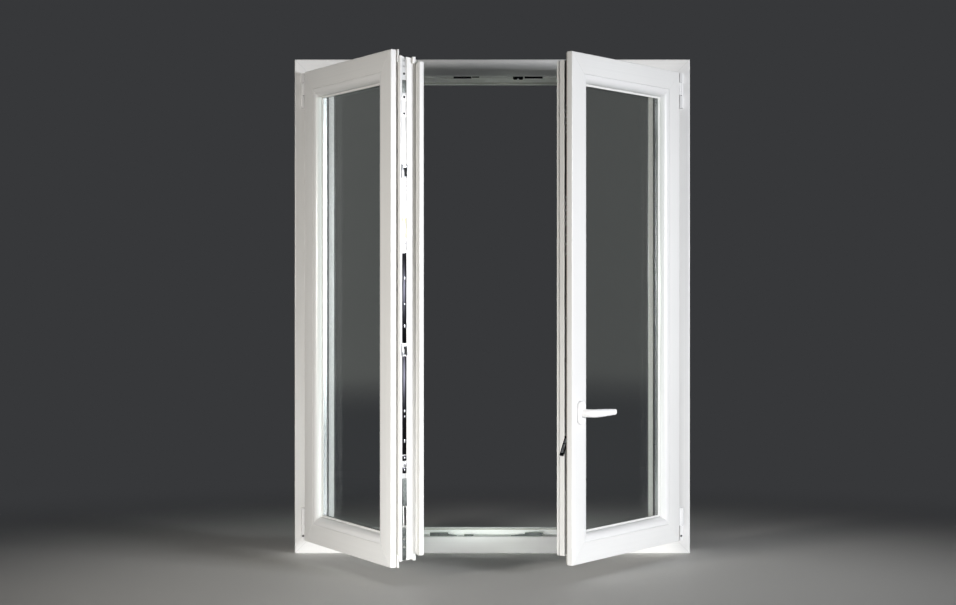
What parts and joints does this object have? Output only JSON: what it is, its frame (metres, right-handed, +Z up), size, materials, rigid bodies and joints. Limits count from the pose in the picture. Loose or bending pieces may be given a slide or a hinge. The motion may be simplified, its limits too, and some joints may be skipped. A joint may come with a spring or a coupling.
{
  "type": "double casement window",
  "caption": "Inward-opening casement window with two glazed leaves, a floating mullion on the passive leaf, edge locking hardware and a lever handle.",
  "frame": {"origin": "centre of the frame's underside, at mid depth", "axes": "+X to the right seen from the room, +Z up, -Y into the room"},
  "size_m": [1.2, 0.5729, 1.5],
  "materials": {
    "pvc": "extruded white PVC-U with a satin gloss",
    "gasket": "co-extruded grey EPDM seal",
    "glass": "clear float glass, sealed unit",
    "spacer": "mill aluminium spacer bar",
    "hardware": "zinc-plated steel",
    "hinge": "white powder-coated steel",
    "handle": "white powder-coated cast aluminium"
  },
  "bodies": {
    "frame": {"frame_sill": "pvc", "frame_head": "pvc", "frame_jamb_left": "pvc", "frame_jamb_right": "pvc", "frame_stop_seal": "gasket", "sill_strikers": "hardware", "head_strikers": "hardware", "left_frame_hinges": "hinge", "right_frame_hinges": "hinge"},
    "left_leaf": {"left_stile_hinge": "pvc", "left_stile_lock": "pvc", "left_rail_top": "pvc", "left_rail_bottom": "pvc", "left_bead_hinge": "pvc", "left_bead_lock": "pvc", "left_bead_top": "pvc", "left_bead_bottom": "pvc", "left_glass": "glass", "left_glass_spacer": "spacer", "left_glazing_gaskets": "gasket", "left_leaf_seal": "gasket", "left_leaf_hinges": "hinge", "mullion_profile": "pvc", "mullion_caps": "pvc", "mullion_seal": "gasket", "gear_plate": "hardware", "gear_strikers": "hardware", "gear_lever": "hardware"},
    "right_leaf": {"right_stile_hinge": "pvc", "right_stile_lock": "pvc", "right_rail_top": "pvc", "right_rail_bottom": "pvc", "right_bead_hinge": "pvc", "right_bead_lock": "pvc", "right_bead_top": "pvc", "right_bead_bottom": "pvc", "right_glass": "glass", "right_glass_spacer": "spacer", "right_glazing_gaskets": "gasket", "right_leaf_seal": "gasket", "right_leaf_hinges": "hinge", "handle_rose": "handle", "right_face_plate": "hardware"},
    "handle": {"handle_lever": "handle"},
    "lifter": {"lifting_lever": "hardware"}
  },
  "joints": [
    {"name": "left_sash_hinge", "type": "hinge", "parent": "frame", "child": "left_leaf", "pos_m": [-0.571, -0.054, 0.75], "axis": [0, 0, -1], "range_deg": [-58, 32]},
    {"name": "right_sash_hinge", "type": "hinge", "parent": "frame", "child": "right_leaf", "pos_m": [0.571, -0.054, 0.75], "axis": [0, 0, 1], "range_deg": [-52, 38]},
    {"name": "handle_turn", "type": "hinge", "parent": "right_leaf", "child": "handle", "pos_m": [0.24614, -0.47468, 0.461], "axis": [0.788, -0.6157, 0], "range_deg": [-90, 90]},
    {"name": "lifter_pivot", "type": "hinge", "parent": "right_leaf", "child": "lifter", "pos_m": [0.20994, -0.46416, 0.39], "axis": [-0.788, 0.6157, 0], "range_deg": [-26.1, 21]}
  ],
  "couplings": [
    {"joint": "lifter_pivot", "follows": "right_sash_hinge", "ratio": 0.5}
  ]
}
